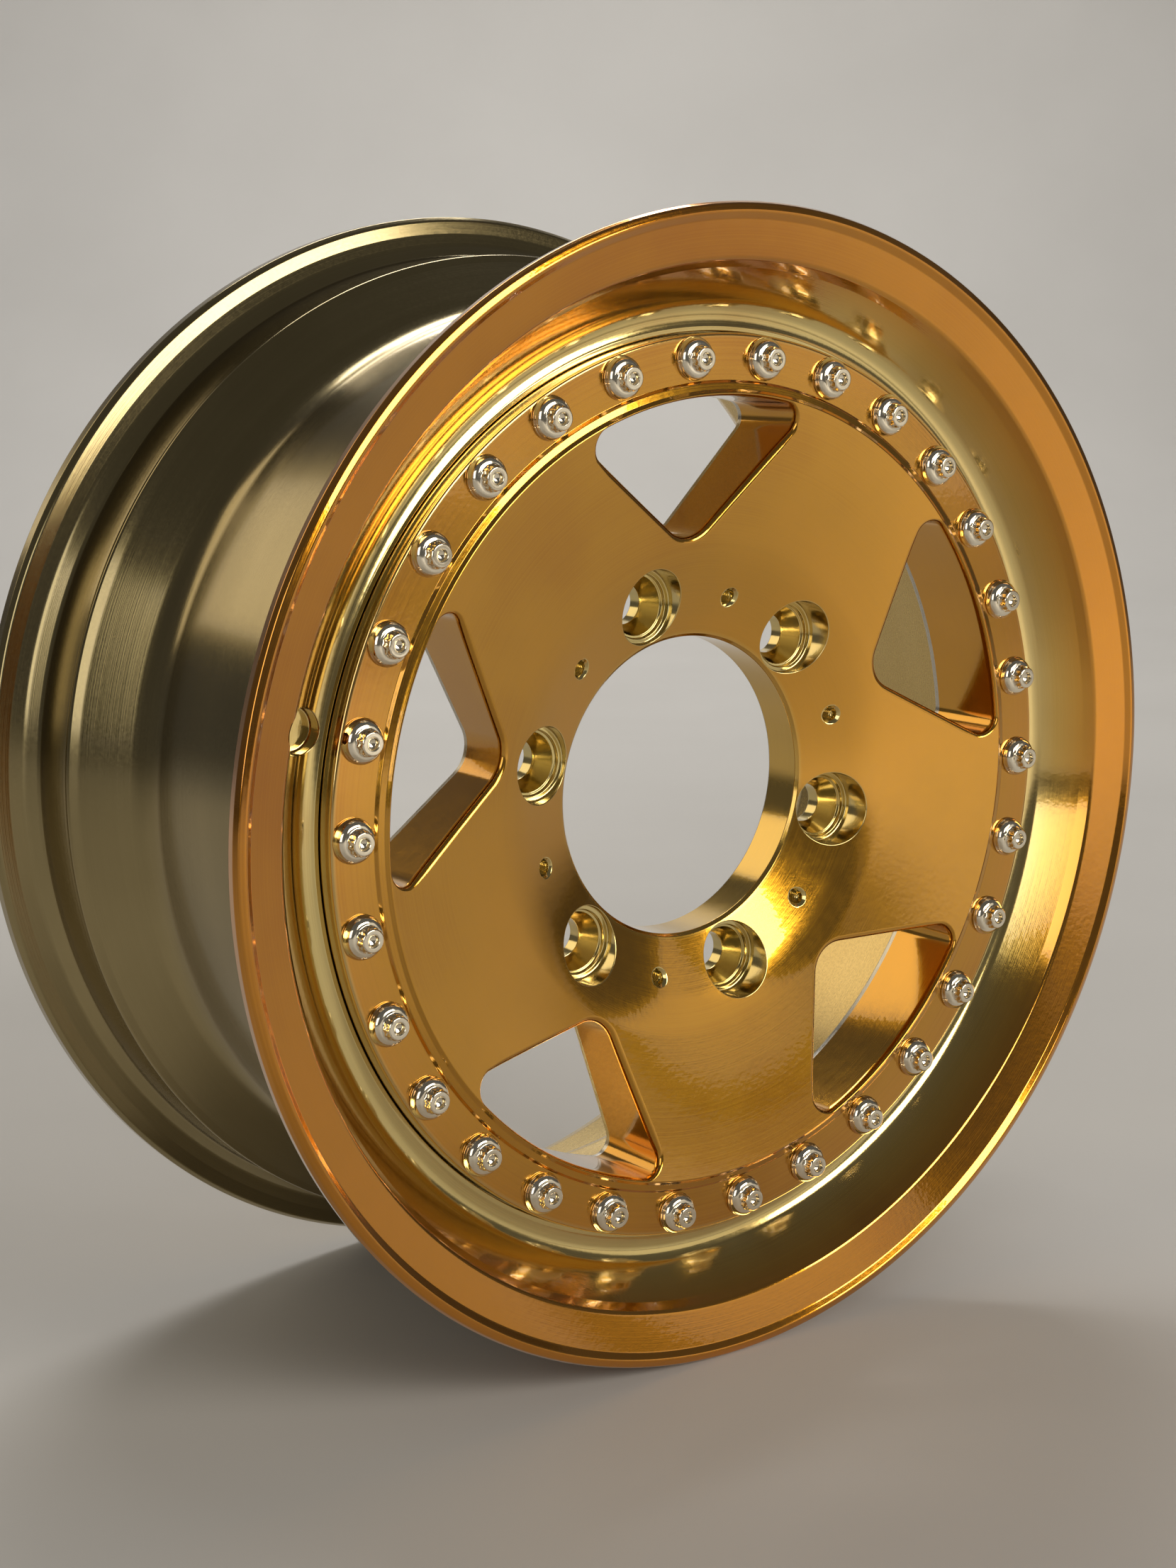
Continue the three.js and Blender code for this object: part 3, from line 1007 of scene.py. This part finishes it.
def area(name, at, to, size, power, colour=(1, 1, 1)):
    data = bpy.data.lights.new(name, "AREA")
    data.shape = "RECTANGLE"
    data.size, data.size_y = size
    data.energy, data.color = power, colour
    o = bpy.data.objects.new(name, data)
    bpy.context.scene.collection.objects.link(o)
    o.location = at
    o.rotation_mode = "QUATERNION"
    o.rotation_quaternion = (Vector(to) - Vector(at)).to_track_quat("-Z", "Y")
    o.visible_camera = False
    return o


def spot(name, at, to, angle, power, colour=(1, 1, 1)):
    data = bpy.data.lights.new(name, "SPOT")
    data.energy, data.color = power, colour
    data.spot_size, data.spot_blend = math.radians(angle), 1.0
    data.shadow_soft_size = 0.12
    o = bpy.data.objects.new(name, data)
    bpy.context.scene.collection.objects.link(o)
    o.location = at
    o.rotation_mode = "QUATERNION"
    o.rotation_quaternion = (Vector(to) - Vector(at)).to_track_quat("-Z", "Y")
    return o


area("key_window", (0.52, -1.98, 0.80), (0, -0.05, 0), (1.25, 0.75), 24, (1.0, 0.94, 0.85))
area("back_light", (0.75, 1.35, 2.1), (0.75, 1.3, -0.2), (1.7, 0.5), 20, (1.0, 0.98, 0.95))
area("left_card", (-2.0, -1.45, 0.65), (0, 0, 0), (1.1, 1.3), 9, (1.0, 0.97, 0.92))
area("backdrop_wash", (1.3, 1.8, 2.6), (2.0, 2.6, -0.2), (1.6, 0.5), 24, (1.0, 0.98, 0.95))
area("rear_card", (-0.75, 1.25, 0.85), (0.10, 0.05, -0.05), (0.9, 0.9), 3.2, (1.0, 0.86, 0.62))
area("low_card", (1.95, -2.55, 0.36), (0, 0, 0.0), (1.1, 0.95), 2.0, (1.0, 0.92, 0.78))
spot("floor_near", (0.66, -1.25, 1.7), (0.66, -1.25, -0.2), 34, 42, (1.0, 0.90, 0.72))
spot("floor_far", (2.9, -3.3, 2.8), (2.9, -3.3, -0.2), 85, 225, (1.0, 0.90, 0.74))

cam = bpy.data.cameras.new("camera")
cam.lens = 56.9
cam.sensor_fit = "AUTO"
cam.sensor_width = 36.0
cam.clip_start, cam.clip_end = 0.05, 30
camera = bpy.data.objects.new("camera", cam)
bpy.context.scene.collection.objects.link(camera)
right = Vector((0.79248, -0.60990, 0.00146))
upv = Vector((0.11084, 0.14638, 0.98300))
backv = Vector((-0.59974, -0.77884, 0.18361))
camera.matrix_world = Matrix(
    (
        (right.x, upv.x, backv.x, -0.5661),
        (right.y, upv.y, backv.y, -0.7331),
        (right.z, upv.z, backv.z, 0.1655),
        (0, 0, 0, 1),
    )
)
bpy.context.scene.camera = camera

bpy.context.scene.view_settings.view_transform = "Standard"
